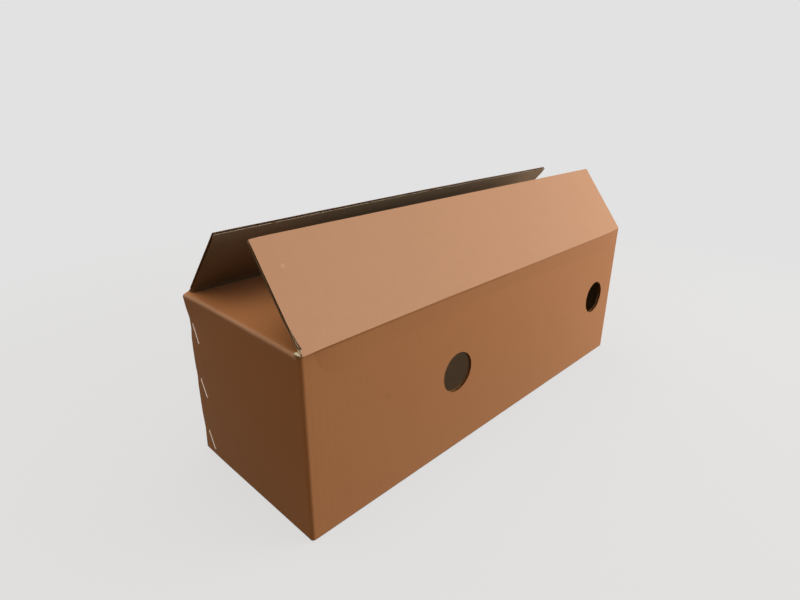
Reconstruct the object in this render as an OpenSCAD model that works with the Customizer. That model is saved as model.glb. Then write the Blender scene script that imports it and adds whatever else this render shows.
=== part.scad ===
// Ventilated slotted carton, folded from one corrugated blank and wire-stitched at one corner.
// X runs along the length, Y from the front panel to the back panel, Z up from the floor.
// The origin is at the middle of the underside.

/* [Box] */
// Outside length of the box
box_l = 592; // [480:1:760]
// Outside width of the box
box_w = 208; // [160:1:280]
// Outside height of the closed box
box_h = 200; // [170:1:280]

/* [Board] */
// Thickness of the corrugated board
board_t = 4; // [3:0.1:5]
// Thickness of each of the two liners
liner_t = 0.4; // [0.3:0.05:0.6]
// Thickness of the fluted medium, measured square to the board
medium_t = 0.5; // [0.4:0.05:0.7]
// Length of one flute wave
flute_pitch = 7.9; // [6.5:0.1:9]
// Half width of the glue line between a flute's tip and its liner
glue_line = 0.7; // [0.5:0.05:1]

/* [Flaps] */
// Lean of the front flap towards the inside, from upright
front_lean = 38; // [0:1:80]
// Lean of the back flap towards the inside, from upright
back_lean = 44; // [0:1:80]
// Gap left between two flaps that meet over the middle
flap_gap = 1; // [0.6:0.1:3]
// How far a flap's side stands back from the end of its panel
flap_inset = 2; // [1:0.1:5]
// Gap between layers of board that lie on each other
layer_gap = 0.3; // [0.2:0.05:1]
// Half width of the slit that each long crease hinges on
crease_clear = 0.25; // [0.2:0.05:0.5]
// Width of the crushed strip beside each long crease
crush_w = 2; // [1:0.1:5]

/* [Vents] */
// Diameter of a vent hole
vent_d = 48; // [20:1:70]
// Height of the vent centres above the floor
vent_z = 102; // [60:1:120]
// First vent centre, from the left end of its panel seen from outside
vent_left = 207.5; // [100:0.5:240]
// Second vent centre, from the right end of its panel seen from outside
vent_right = 57; // [50:1:120]

/* [Stitched joint] */
// Width of the tab behind the end panel
tab_w = 35; // [28:1:50]
// Rise of the tab's slanted ends
tab_bevel = 4; // [1:0.5:6]
// Space between the tab and the flaps above and below it
tab_clear = 1; // [0.5:0.1:3]
// How far the end panel's raw edge stands back from the back panel's face
raw_edge_inset = 1.7; // [0.2:0.1:2]
// Number of wire stitches
stitch_count = 3; // [2:1:4]
// Length of a stitch
stitch_l = 23; // [14:1:26]
// Slope of a stitch from level
stitch_slope = 60; // [45:1:90]
// Stitch centres, from the corner of the box
stitch_edge = 14; // [13:0.5:18]
// Lowest stitch centre, above the floor
stitch_low = 23; // [23:1:40]
// Highest stitch centre, below the top
stitch_high = 46; // [30:1:60]
// Width of the flat stitching wire
wire_w = 2; // [1.5:0.1:2.5]
// Thickness of the flat stitching wire
wire_t = 0.8; // [0.6:0.05:1]
// Length of wire clinched over at each end of a stitch
clinch_l = 8; // [4:0.5:10]
// Space around the wire where it pierces the board
wire_clear = 0.1; // [0.05:0.05:0.3]

/* [Hidden] */
$fn = 48;
overrun = 1;
kraft_board = [0.62, 0.42, 0.27];
kraft_flap = [0.73, 0.55, 0.42];
steel_wire = [0.8, 0.78, 0.74];
void_steps = 4;

x_end = box_l / 2;
y_face = box_w / 2;
flap_l = (box_w - flap_gap) / 2;
end_base = board_t + layer_gap;
end_top = box_h - board_t - layer_gap;
crease_base = box_h - board_t - crease_clear;
end_flap_w = box_w - 2 * (board_t + flap_inset);
tab_x = -x_end + board_t + layer_gap;
joint_depth = 2 * board_t + layer_gap;
core_h = board_t - 2 * liner_t;
wave_amp = (core_h - medium_t) / 2;
flute_start = board_t + crease_clear + crush_w;
tab_base = end_base + board_t + tab_clear;
tab_top = end_top - board_t - tab_clear;
raw_flute_w = flute_pitch / 2 - glue_line;
stitch_step = (box_h - stitch_high - stitch_low) / (stitch_count - 1);

// Sweeps a section in Y and Z from x0 to x1
module along_x(x0, x1) {
  translate([x0, 0, 0]) rotate([90, 0, 90]) linear_extrude(x1 - x0) children();
}

// Sweeps a section in X and Z from y0 to y1
module along_y(y0, y1) {
  translate([0, y1, 0]) rotate([90, 0, 0]) linear_extrude(y1 - y0) children();
}

// Section of a right-angled fold, round outside and sharp inside
module fold_section() {
  intersection() {
    circle(r = board_t);
    square(board_t);
  }
}

// Half of one flute wave cut off by a straight liner, opening towards +Y
module flute_void(pitch) {
  half_w = pitch / 2 - glue_line;
  step = 2 * half_w / void_steps;
  wave = [for (i = [1 : void_steps - 1])
    let (x = i * step - half_w)
    [x, medium_t / 2 - wave_amp * cos(360 * x / pitch)]];
  polygon(concat([[-half_w, core_h / 2]], wave, [[half_w, core_h / 2]]));
}

// Section of a board cut across its flutes, width along X and thickness along Y
module fluted_section(width) {
  count = round(width / flute_pitch);
  pitch = width / count;
  difference() {
    square([width, board_t]);
    for (k = [0 : count]) {
      translate([(k - 1 / 4) * pitch, board_t / 2]) flute_void(pitch);
      translate([(k + 1 / 4) * pitch, board_t / 2]) mirror([0, 1]) flute_void(pitch);
    }
  }
}

// Section of a long panel from its outer face inwards: round bottom fold, wall and creased top
module long_section() {
  translate([board_t, board_t]) rotate(180) fold_section();
  polygon([
    [0, board_t],
    [board_t, board_t],
    [board_t, crease_base],
    [0, box_h - crease_clear]
  ]);
}

// Front panel from x0 to x1, with its bottom flap, which stands back at both ends
module long_side(x0, x1) {
  translate([0, -y_face, 0]) {
    along_x(x0, x1) long_section();
    along_x(x0 + flap_inset, x1 - flap_inset) translate([board_t, 0])
      square([flap_l - board_t, board_t]);
  }
}

// Left end panel from y0 to y1, with its short flaps and their folds, which end at fold_y1.
// Its bottom fold hangs down to the floor in front of the long flaps that its own flap lies on.
module short_side(y0, y1, fold_y1) {
  flap_y = end_flap_w / 2;
  translate([-x_end, 0, 0]) {
    along_y(y0, y1) translate([0, board_t]) square([board_t, end_top - 2 * board_t]);
    along_y(-flap_y, fold_y1) {
      translate([board_t, board_t]) rotate(180) fold_section();
      translate([board_t, end_top - board_t]) rotate(90) fold_section();
    }
    along_y(-flap_y, flap_y) {
      translate([board_t, end_base]) square([flap_l - board_t, board_t]);
      translate([board_t, end_top - board_t]) square([crush_w, board_t]);
    }
    along_x(board_t + crush_w, flap_l) translate([-flap_y, end_top - board_t])
      fluted_section(end_flap_w);
  }
}

// Open flute along the raw edge of the left end panel
module raw_edge_flute() {
  translate([-x_end + liner_t, y_face - raw_edge_inset - raw_flute_w, board_t])
    cube([core_h, raw_flute_w + overrun, end_top - 2 * board_t]);
}

// Upright corner fold, centred on its inner edge and turned to face outwards
module corner_fold(x, y, turn) {
  translate([x, y, board_t]) linear_extrude(crease_base - board_t) rotate(turn) fold_section();
}

// Tab of the back panel that lies behind the left end panel
module joint_tab() {
  translate([tab_x, y_face - board_t, 0]) rotate([90, 0, -90])
    mirror([0, 0, 1]) linear_extrude(board_t)
      polygon([
        [0, tab_base],
        [tab_w, tab_base + tab_bevel],
        [tab_w, tab_top - tab_bevel],
        [0, tab_top]
      ]);
}

// Two round vents in the front panel
module front_vents() {
  for (x = [-x_end + vent_left, x_end - vent_right]) {
    translate([x, -y_face - overrun, vent_z]) rotate([-90, 0, 0])
      cylinder(d = vent_d, h = board_t + 2 * overrun);
  }
}

// Places children at each stitch, crown along Y and depth along X from the end panel's face
module at_stitches() {
  for (i = [0 : stitch_count - 1]) {
    translate([-x_end, y_face - stitch_edge, stitch_low + i * stitch_step])
      rotate([stitch_slope, 0, 0]) children();
  }
}

// Holes that the two legs of a stitch pierce through the end panel and the tab
module stitch_holes() {
  hole_w = wire_w + 2 * wire_clear;
  hole_t = wire_t + 2 * wire_clear;
  for (side = [-1, 1]) {
    translate([-overrun, side * (stitch_l - wire_t) / 2 - hole_t / 2, -hole_w / 2])
      cube([joint_depth + 2 * overrun, hole_t, hole_w]);
  }
}

// Flat wire bent round both layers of board: crown outside, ends clinched inside
module stitch() {
  translate([0, 0, -wire_w / 2]) linear_extrude(wire_w) difference() {
    union() {
      translate([-wire_t, wire_t - stitch_l / 2]) square([joint_depth + 2 * wire_t, stitch_l - 2 * wire_t]);
      translate([0, -stitch_l / 2]) square([joint_depth, stitch_l]);
      for (x = [0, joint_depth], y = [wire_t - stitch_l / 2, stitch_l / 2 - wire_t])
        translate([x, y]) circle(r = wire_t);
    }
    translate([0, wire_t - stitch_l / 2]) square([joint_depth, stitch_l - 2 * wire_t]);
    translate([joint_depth - overrun, clinch_l - stitch_l / 2])
      square([wire_t + 2 * overrun, stitch_l - 2 * clinch_l]);
  }
}

// Flap standing upright on its crease: outer face at Y zero, crease at Z zero
module long_flap(x0, x1) {
  along_x(x0, x1) polygon([
    [0, crease_clear],
    [0, flute_start],
    [board_t, flute_start],
    [board_t, board_t + crease_clear]
  ]);
  translate([x0, 0, flute_start]) linear_extrude(flap_l - flute_start) fluted_section(x1 - x0);
}

// Folded blank: four panels, glued bottom flaps, short top flaps folded in, and the joint's tab
module carton_body() {
  color(kraft_board) difference() {
    union() {
      long_side(-x_end + board_t, x_end - board_t);
      mirror([0, 1, 0]) long_side(tab_x + board_t, x_end - board_t);
      short_side(-y_face + board_t, y_face - raw_edge_inset, y_face - raw_edge_inset);
      mirror([1, 0, 0]) short_side(-y_face + board_t, y_face - board_t, end_flap_w / 2);
      corner_fold(-x_end + board_t, -y_face + board_t, 180);
      corner_fold(x_end - board_t, -y_face + board_t, 270);
      corner_fold(x_end - board_t, y_face - board_t, 0);
      corner_fold(tab_x + board_t, y_face - board_t, 90);
      joint_tab();
    }
    front_vents();
    rotate(180) front_vents();
    at_stitches() stitch_holes();
    raw_edge_flute();
  }
}

// Long front flap, leaning in over the mouth
module front_top_flap() {
  color(kraft_flap) translate([0, -y_face, box_h]) rotate([-front_lean, 0, 0])
    long_flap(-x_end + flap_inset, x_end - flap_inset);
}

// Long back flap, leaning in over the mouth
module back_top_flap() {
  color(kraft_flap) mirror([0, 1, 0]) translate([0, -y_face, box_h]) rotate([-back_lean, 0, 0])
    long_flap(tab_x + flap_inset, x_end - flap_inset);
}

// Wire stitches that close the carton's corner joint
module joint_stitches() {
  color(steel_wire) at_stitches() stitch();
}

carton_body();
front_top_flap();
back_top_flap();
joint_stitches();
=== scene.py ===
# %% [markdown]
# # A ventilated cardboard carton
# The real carton is one sheet of corrugated board. It is cut flat, creased, folded into a box and stitched
# with wire at one corner. This script makes it in the same order: the flat blank first, then the folding.
# The imported CAD model is loaded before anything else, because the carton, its flaps, the torn pulp and the
# stitches ride on its bodies.

# %% Load the frame
import math

import bmesh
import bpy
import numpy as np
from mathutils import Matrix, Vector, noise


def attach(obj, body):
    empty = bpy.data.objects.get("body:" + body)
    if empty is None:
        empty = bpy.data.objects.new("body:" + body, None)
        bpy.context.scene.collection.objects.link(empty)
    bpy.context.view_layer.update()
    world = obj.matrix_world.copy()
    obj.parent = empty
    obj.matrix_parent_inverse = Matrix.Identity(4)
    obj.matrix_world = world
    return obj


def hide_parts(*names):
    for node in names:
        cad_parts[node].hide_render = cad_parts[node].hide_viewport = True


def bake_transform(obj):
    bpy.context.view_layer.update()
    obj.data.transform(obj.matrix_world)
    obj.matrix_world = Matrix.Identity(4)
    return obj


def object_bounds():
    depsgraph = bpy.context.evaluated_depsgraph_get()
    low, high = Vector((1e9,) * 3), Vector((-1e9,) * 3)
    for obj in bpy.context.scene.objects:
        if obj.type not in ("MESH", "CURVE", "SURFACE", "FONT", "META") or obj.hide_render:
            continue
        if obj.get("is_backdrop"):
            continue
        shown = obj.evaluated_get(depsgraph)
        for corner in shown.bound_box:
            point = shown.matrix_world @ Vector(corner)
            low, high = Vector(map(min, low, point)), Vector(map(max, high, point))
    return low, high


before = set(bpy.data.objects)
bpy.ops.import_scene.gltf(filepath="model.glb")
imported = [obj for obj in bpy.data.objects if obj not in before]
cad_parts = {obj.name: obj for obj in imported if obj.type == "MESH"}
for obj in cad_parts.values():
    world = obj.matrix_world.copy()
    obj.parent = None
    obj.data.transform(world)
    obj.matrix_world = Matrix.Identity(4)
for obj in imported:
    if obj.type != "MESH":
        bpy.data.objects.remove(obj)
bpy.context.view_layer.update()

scene = bpy.context.scene

# %% [markdown]
# ## Sizes
# These are the sizes of the solids, in metres. The board is C-flute: two flat liners with a wavy medium
# glued between them, about 4 mm thick, with a wave every 7.9 mm. The flutes run up the walls.

# %% Sizes of the carton
MM = 0.001
LENGTH, WIDTH, HEIGHT = 592 * MM, 208 * MM, 200 * MM
BOARD, LINER, MEDIUM, PITCH = 4 * MM, 0.4 * MM, 0.5 * MM, 7.9 * MM
WAVE = (BOARD - 2 * LINER - MEDIUM) / 2
FLAP = 103.5 * MM
SLIT = 0.25 * MM
LAYER_GAP = 0.3 * MM
VENT_R, VENT_Z = 24 * MM, 102 * MM
VENT_X = (-88.5 * MM, 239 * MM)
print("board", BOARD, "flute wave", round(WAVE, 5))

# %% [markdown]
# ## One way to add a node
# Node trees get long, so one small function adds a node. Its kind is given without the prefix, settings are
# the node's own properties, and the dictionary gives each input either a value or the output that feeds it.
# The function hands back the node's output, which can be written in formulas: a + b adds one more node.

# %% Helper for nodes
class Out:
    """One output of a node. In a formula each sign adds a math node to the same tree."""

    def __init__(self, node, key=0):
        self.node, self.key = node, key

    def __getitem__(self, key):
        return Out(self.node, key)

    def feed(self, socket):
        self.node.id_data.links.new(self.node.outputs[self.key], socket)

    def math(self, operation, *others, **settings):
        links = dict(enumerate((self, *others)))
        return add(self.node.id_data, "Math", links, operation=operation, **settings)

    def __add__(self, other):
        return self.math("ADD", other)

    def __sub__(self, other):
        return self.math("SUBTRACT", other)

    def __mul__(self, other):
        return self.math("MULTIPLY", other)

    def __truediv__(self, other):
        return self.math("DIVIDE", other)


def add(tree, kind, links=None, **settings):
    prefixes = (tree.bl_idname.removesuffix("Tree"), "ShaderNode", "FunctionNode", "")
    node = tree.nodes.new(next(first + kind for first in prefixes if hasattr(bpy.types, first + kind)))
    for name, value in settings.items():
        setattr(node, name, value)
    for key, value in (links or {}).items():
        if isinstance(value, Out):
            value.feed(node.inputs[key])
        else:
            node.inputs[key].default_value = value
    return Out(node)


def spread(value, low, high, to_low=0.0, to_high=1.0, **settings):
    """Carries a value from one range over to another, and no further."""
    links = {"Value": value, "From Min": low, "From Max": high, "To Min": to_low, "To Max": to_high}
    return add(value.node.id_data, "MapRange", links, **settings)


def mix(tree, share, first, second, **settings):
    return add(tree, "Mix", {0: share, 6: first, 7: second}, data_type="RGBA", **settings)[2]


def colour(code):
    """Linear RGBA from an sRGB hex code."""
    parts = [int(code[i : i + 2], 16) / 255 for i in (1, 3, 5)]
    return [c / 12.92 if c <= 0.04045 else ((c + 0.055) / 1.055) ** 2.4 for c in parts] + [1]


print("mid grey is", round(colour("#808080")[0], 3))

# %% [markdown]
# ## Kraft paper
# All three plies are brown kraft paper, made from unbleached wood pulp. Its eye-marks are soft: clouds of
# thicker and thinner pulp, streaks along the paper machine's run, a few dark fibre bits, and faint
# washboarding where the liner sinks between the flutes. The pattern is drawn on the flat sheet, so every
# mesh carries its flat place in an attribute named flat, and the marks fold with the board.

# %% Kraft paper finish
def noise_on(tree, place, size, detail):
    return add(tree, "TexNoise", {"Vector": place, "Scale": 1 / size, "Detail": detail})


def kraft_paper(name, code, roughness, mottle, washboard, fuzz=0.0):
    paper = bpy.data.materials.new(name)
    paper.use_nodes = True
    tree = paper.node_tree
    shader = tree.nodes["Principled BSDF"].inputs
    flat = add(tree, "Attribute", attribute_name="flat")["Vector"]
    # Clouds of pulp are 16 mm across, and streaks are 70 mm long and 3 mm wide.
    clouds = noise_on(tree, flat, 16 * MM, 3.0)
    stretch = add(tree, "Mapping", {"Vector": flat, "Scale": (1 / (70 * MM), 1, 1 / (3 * MM))})
    streaks = noise_on(tree, stretch, 1.0, 2.0)
    # Fibre bits are about 0.3 mm in life; they are drawn 1 mm long so that a few of them show.
    grains = noise_on(tree, flat, 1 * MM, 2.0)
    bits = spread(grains, 0.66, 0.78)
    tone = clouds * mottle + (1 - mottle / 2) + streaks * (mottle * 0.7) - bits * mottle
    add(tree, "HueSaturation", {"Color": colour(code), "Value": tone}).feed(shader["Base Color"])
    across = add(tree, "SeparateXYZ", {0: flat})["X"]
    relief = (across * (2 * math.pi / PITCH)).math("SINE") * washboard + grains
    bump = add(tree, "Bump", {"Height": relief, "Strength": 0.12, "Distance": 0.3 * MM})
    bump.feed(shader["Normal"])
    # Paper has no hard shine. Its loose surface fibres catch the light at a flat angle, which is the sheen.
    shader["Roughness"].default_value = roughness
    shader["Specular IOR Level"].default_value = 0.02
    shader["Sheen Weight"].default_value = fuzz
    shader["Sheen Roughness"].default_value = 0.4
    return paper


outer_liner = kraft_paper("kraft_liner_outside", "#B17950", 0.55, 0.05, 0.35, fuzz=0.15)
# The flaps' outside is the same liner as the walls. Its paler, less brown colour is a painted sheen.
flap_liner_painted_sheen = kraft_paper("kraft_liner_flap_painted_sheen", "#BE9377", 0.75, 0.05, 0.35)
inner_liner = kraft_paper("kraft_liner_inside", "#8B7863", 0.75, 0.08, 0.5)
fluting = kraft_paper("kraft_fluting_medium", "#7A5639", 0.8, 0.12, 0.0)
cut_edge = kraft_paper("kraft_cut_edge", "#85603F", 0.85, 0.25, 0.0)
torn_pulp = kraft_paper("kraft_torn_pulp", "#E8DECC", 0.9, 0.2, 0.0)
# Along the front's score line the paper is crushed. Its darker colour is also painted shade under the rolled
# edge.
score_painted_shade = kraft_paper("kraft_crushed_crease_painted_shade", "#A8734A", 0.8, 0.12, 0.0)
# Inside a crease the paper is crushed together and lies in its own shade, which is painted into its darker
# colour as painted shade.
crease_inside_painted_shade = kraft_paper("kraft_crease_inside_painted_shade", "#7C6751", 0.9, 0.15, 0.0)
PLIES = (outer_liner, inner_liner, fluting, cut_edge, torn_pulp, flap_liner_painted_sheen, score_painted_shade, crease_inside_painted_shade)
print("papers", [paper.name for paper in PLIES])

# %% [markdown]
# A clean cut is as brown as the board. Where the blade has torn the liner, pale loose pulp shows in broken
# patches a few millimetres long. Some cuts are painted dark: the outside half of the back flap's free edge,
# as painted shade, and the middle of the front flap's left edge. The attribute named frayed is 1 where a cut
# is pale and -1 where it is painted dark, and pieces without it stay brown.

# %% Frayed patches and painted dark on cut edges
tree = cut_edge.node_tree
base = tree.nodes["Principled BSDF"].inputs["Base Color"]
brown = Out(base.links[0].from_node)
worn = add(tree, "Attribute", attribute_name="frayed")["Fac"]
flat = add(tree, "Attribute", attribute_name="flat")["Vector"]
broken = spread(noise_on(tree, flat, 9 * MM, 2.0), 0.32, 0.46)
pale = worn.math("MULTIPLY", broken, use_clamp=True)
# Dark cuts are painted dark: painted shade on the back flap's free edge, and the middle of the front flap's
# left edge.
painted_dark = worn.math("MULTIPLY", -1.0, use_clamp=True)
frayed_tone = mix(tree, pale, brown, colour("#D8CBB6"))
mix(tree, painted_dark, frayed_tone, colour("#3B2D20")).feed(base)
print("cut edge has", len(tree.nodes), "nodes")

# %% [markdown]
# ## Galvanised stitching wire
# The stitches are flat steel wire with a thin zinc coat. Zinc is a grey metal with a soft shine, rubbed
# brighter along the drawn length, so the roughness carries fine lines along the wire.

# %% Stitching wire finish
wire = bpy.data.materials.new("galvanised_flat_wire")
wire.use_nodes = True
tree = wire.node_tree
zinc = tree.nodes["Principled BSDF"].inputs
zinc["Base Color"].default_value = colour("#FFF6EA")
zinc["Metallic"].default_value = 1.0
drawn = noise_on(tree, add(tree, "TexCoord")["Object"], 1.2 * MM, 2.0)
spread(drawn, 0.3, 0.7, 0.18, 0.34).feed(zinc["Roughness"])
print("wire", wire.name)

# %% [markdown]
# ## Running a node tree once
# A Geometry Nodes tree is a rule for a shape. The modifier's inputs are set by socket identifier, the result
# is read back as a plain mesh, and the modifier goes, so that later steps see ordinary vertices.

# %% Helper that grows a mesh from a tree
def new_tree(name, floats=(), counts=(), mesh_in=False, gives=(("Geometry", "Geometry"),)):
    """A tree with its sockets, and the node that hands out its inputs."""
    tree = bpy.data.node_groups.new(name, "GeometryNodeTree")
    takes = [("Geometry", "Geometry")] * mesh_in
    takes += [(key, "Float") for key in floats] + [(key, "Int") for key in counts]
    for in_out, sockets in (("INPUT", takes), ("OUTPUT", gives)):
        for key, kind in sockets:
            tree.interface.new_socket(name=key, in_out=in_out, socket_type="NodeSocket" + kind)
    return tree, add(tree, "NodeGroupInput")


def store(geometry, name, value, kind="FLOAT_VECTOR", domain="POINT", chosen=True):
    links = {"Geometry": geometry, "Selection": chosen, "Name": name, "Value": value}
    return add(geometry.node.id_data, "StoreNamedAttribute", links, data_type=kind, domain=domain)


def put(name, data):
    piece = bpy.data.objects.new(name, data)
    scene.collection.objects.link(piece)
    return piece


def grow(name, tree, values, start=None):
    piece = put(name, start or bpy.data.meshes.new(name))
    rule = piece.modifiers.new(name, "NODES")
    rule.node_group = tree
    for item in tree.interface.items_tree:
        if item.in_out == "INPUT" and item.name in values:
            rule[item.identifier] = values[item.name]
    graph = bpy.context.evaluated_depsgraph_get()
    mesh = bpy.data.meshes.new_from_object(piece.evaluated_get(graph))
    piece.modifiers.clear()
    piece.data = mesh
    mesh.name = name
    return piece


print("trees so far", len(bpy.data.node_groups))

# %% Helpers for the points of a mesh
def points_of(mesh, key="position"):
    values = np.zeros(len(mesh.vertices) * 3, np.float32)
    mesh.attributes[key].data.foreach_get("vector", values)
    return values.reshape(-1, 3).astype(float)


def keep_points(mesh, points, key="position"):
    held = mesh.attributes.get(key) or mesh.attributes.new(key, "FLOAT_VECTOR", "POINT")
    held.data.foreach_set("vector", np.asarray(points, np.float32).ravel())
    mesh.update()


def keep_numbers(mesh, key, numbers):
    held = mesh.attributes.new(key, "FLOAT", "POINT")
    held.data.foreach_set("value", numbers.astype(np.float32))


def ramp(value, start, end):
    """0 at the start, 1 at the end, straight between them and level beyond."""
    return np.clip((value - start) / (end - start), 0, 1)


def smooth_sheet(mesh, angle=35):
    mesh.polygons.foreach_set("use_smooth", [True] * len(mesh.polygons))
    mesh.set_sharp_from_angle(angle=math.radians(angle))


print("ramp", ramp(np.array([0.0, 0.5, 2.0]), 0, 1))

# %% [markdown]
# ## Dressing the plies
# Each face carries a number named ply: 0 outside liner, 1 inside liner, 2 fluting, 3 cut edge, 4 torn pulp,
# 5 the flaps' outside, the same liner painted paler and less brown as a painted sheen, 6 the score line
# outside, darker with crushed paper and painted shade, and 7 the crease inside, darker with painted shade.
# This short group turns instances into real mesh and gives each ply its paper. The other trees end with it.

# %% Group that dresses the plies
dress, taken = new_tree("dress_plies", mesh_in=True)
layer = add(dress, "RealizeInstances", {"Geometry": taken})
ply_number = add(dress, "InputNamedAttribute", {"Name": "ply"}, data_type="INT")
for number, paper in enumerate(PLIES):
    chosen = add(dress, "Compare", {2: ply_number, 3: number}, data_type="INT", operation="EQUAL")
    layer = add(dress, "SetMaterial", {"Geometry": layer, "Selection": chosen, "Material": paper})
add(dress, "NodeGroupOutput", {0: layer})
print("dress_plies has", len(dress.nodes), "nodes")

# %% [markdown]
# ## One ply of paper
# A ply is a grid laid out on the flat sheet: X across the flutes, Y into the board, Z along the flutes. With
# a wave height it becomes the fluted medium, and with a hole radius its lower edge follows a round vent.
# The grid is pushed out to its thickness, and its other face is put back so that the shell is closed.

# %% Group that makes one ply
names = ("Width", "Start", "End", "Depth", "Thickness", "Wave", "Pitch", "Hole")
ply, given = new_tree("paper_ply", names, ("Columns", "Rows", "Ply"))
links = {"Size X": given["Width"], "Size Y": 1.0, "Vertices X": given["Columns"], "Vertices Y": given["Rows"]}
grid = add(ply, "MeshGrid", links)
spot = add(ply, "SeparateXYZ", {0: add(ply, "InputPosition")})
across = given["Width"] * 0.5 + spot["X"]
# A quarter turn back starts the wave at a liner, so that a side cut shows the slope of a flute.
phase = across / given["Pitch"] * (2 * math.pi) - math.pi / 2
depth = phase.math("SINE") * given["Wave"] + given["Depth"]
chord = given["Hole"] * given["Hole"] - spot["X"] * spot["X"]
rim = chord.math("MAXIMUM", 0.0).math("SQRT")
along = (spot["Y"] + 0.5) * (given["End"] - given["Start"]) + given["Start"] + rim
laid = add(ply, "CombineXYZ", {"X": across, "Y": depth, "Z": along})
inner_face = add(ply, "SetPosition", {"Geometry": grid, "Position": laid})
links = {"Mesh": inner_face, "Offset": (0, -1, 0), "Offset Scale": given["Thickness"], "Individual": False}
pushed = add(ply, "ExtrudeMesh", links, mode="FACES")
named = store(pushed, "ply", given["Ply"], "INT", "FACE")
named = store(named, "ply", 3, "INT", "FACE", pushed["Side"])
turned = add(ply, "FlipFaces", {"Mesh": inner_face})
both = add(ply, "JoinGeometry", {0: named})
store(turned, "ply", given["Ply"], "INT", "FACE").feed(both.node.inputs[0])
welded = add(ply, "MergeByDistance", {"Geometry": both, "Distance": 0.001 * MM})
add(ply, "NodeGroupOutput", {0: welded})
print("paper_ply has", len(ply.nodes), "nodes")

# %% [markdown]
# ## Laying out the flat blank
# The blank is drawn flat, as a box maker cuts it: left end, front, right end and back side by side, then the
# narrow tab of the stitched joint. Across the sheet is u and up the sheet is v. Each bend takes the length of
# its outside curve, so the folded walls land where the solids are.

# %% Panels and creases of the flat blank
BEND = BOARD + 0.6 * MM
ARC = BEND * math.pi / 2
RAW_EDGE = WIDTH / 2 - 1.7 * MM
TAB_FACE = -LENGTH / 2 + BOARD + LAYER_GAP
FLAP_SIDE = WIDTH / 2 - BOARD - 1 * MM
TONGUE = FLAP - BEND
panel_width = {
    "left_end": RAW_EDGE + WIDTH / 2 - BEND,
    "front": LENGTH - 2 * BEND,
    "right_end": WIDTH - 2 * BEND,
    "back": LENGTH / 2 - TAB_FACE - 2 * BEND,
    "tab": 34.4 * MM,
}
panel_start, reach = {}, 0.0
for name, width in panel_width.items():
    panel_start[name] = reach
    reach += width + ARC
panel_end = {name: panel_start[name] + panel_width[name] for name in panel_width}
corner_bends = [panel_end[name] for name in ("left_end", "front", "right_end", "back")]
LOW = BEND
SHORT_HIGH = HEIGHT - BOARD - LAYER_GAP - BEND
SLOT = HEIGHT - BOARD - SLIT
CREASE = HEIGHT - SLIT
vents_on_blank = [panel_start["front"] + x + LENGTH / 2 - BEND for x in VENT_X]
vents_on_blank += [panel_start["back"] + LENGTH / 2 - BEND + x for x in VENT_X]
print("blank is", round(reach - ARC, 4), "m long; bends start at", [round(u, 4) for u in corner_bends])

# %% [markdown]
# ## Handling marks
# The carton has been handled a little: a rub near the front flap's left end, and on the front panel a pale
# nick and two faint smudges. Each is a soft round spot at its own place on the flat sheet, added to the
# paper's tone.

# %% Rubs and smudges
def tint_of(paper):
    """Inputs of the node that tints a paper, and the tone that feeds it."""
    inputs = next(node for node in paper.node_tree.nodes if node.type == "HUE_SAT").inputs
    return inputs, Out(inputs["Value"].links[0].from_node)


def handling_mark(paper, place, radius, strength):
    tree = paper.node_tree
    tint, tone = tint_of(paper)
    flat = add(tree, "Attribute", attribute_name="flat")["Vector"]
    away = add(tree, "VectorMath", {0: flat, 1: place}, operation="DISTANCE")["Value"]
    spot = spread(away, 0.0, radius, strength, 0.0, interpolation_type="SMOOTHSTEP")
    (tone + spot).feed(tint["Value"])


handling_mark(flap_liner_painted_sheen, (19 * MM, 0, 74 * MM), 3.5 * MM, 0.18)
for x, z, radius, strength in ((-161, 134, 1.2, 0.45), (-197, 118, 8, -0.07), (-228, 54, 3, -0.1)):
    on_blank = panel_start["front"] + x * MM + LENGTH / 2 - BEND
    handling_mark(outer_liner, (on_blank, 0, z * MM), radius * MM, strength)
print("outside liner has", len(outer_liner.node_tree.nodes), "nodes")

# %% [markdown]
# Where the short flaps fold over, the ridge is painted paler and less brown: a painted highlight along the
# fold.
# How much is in an attribute, which is set before the blank is folded.

# %% Painted highlight on the ridge
tint, tone = tint_of(outer_liner)
ridge_painted_highlight = add(outer_liner.node_tree, "Attribute", attribute_name="ridge_painted_highlight")["Fac"]
(ridge_painted_highlight * -0.26 + 1.0).feed(tint["Saturation"])
(ridge_painted_highlight * 0.2 + tone).feed(tint["Value"])
print("outside liner with its ridge has", len(outer_liner.node_tree.nodes), "nodes")

# %% [markdown]
# The sheet gets a grid of about 12 mm, closer at the bends and round the vents. A plain grid is enough for
# cardboard: the bends stay smooth, and there are points to bow the panels with. A saw cut divides each short
# flap from the corner beside it, and the long bottom flaps are cut back so that the short ones can pass.

# %% Grid lines and cells
STEP, BEND_STEP, VENT_STEP, VENT_HALF = 12 * MM, 1.3 * MM, 5 * MM, 30 * MM
KERF, CUT_BACK, RAMP = 0.3 * MM, 7 * MM, 6 * MM
FOOT, FOOT_MID = 1.7 * MM, 3.0 * MM
FOLD_TOP = SHORT_HIGH + ARC + 3 * MM


def steps(*stops, step=STEP):
    lines = [stops[0]]
    for a, b in zip(stops, stops[1:]):
        count = max(1, math.ceil((b - a) / step - 1e-6))
        lines += [a + (b - a) * (i + 1) / count for i in range(count)]
    return lines


def round_vents(start, end, middles):
    lines = [start]
    for middle in sorted(middles):
        lines = lines[:-1] + steps(lines[-1], middle - VENT_HALF)
        lines = lines[:-1] + steps(middle - VENT_HALF, middle + VENT_HALF, step=VENT_STEP)
    return lines[:-1] + steps(lines[-1], end)


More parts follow.
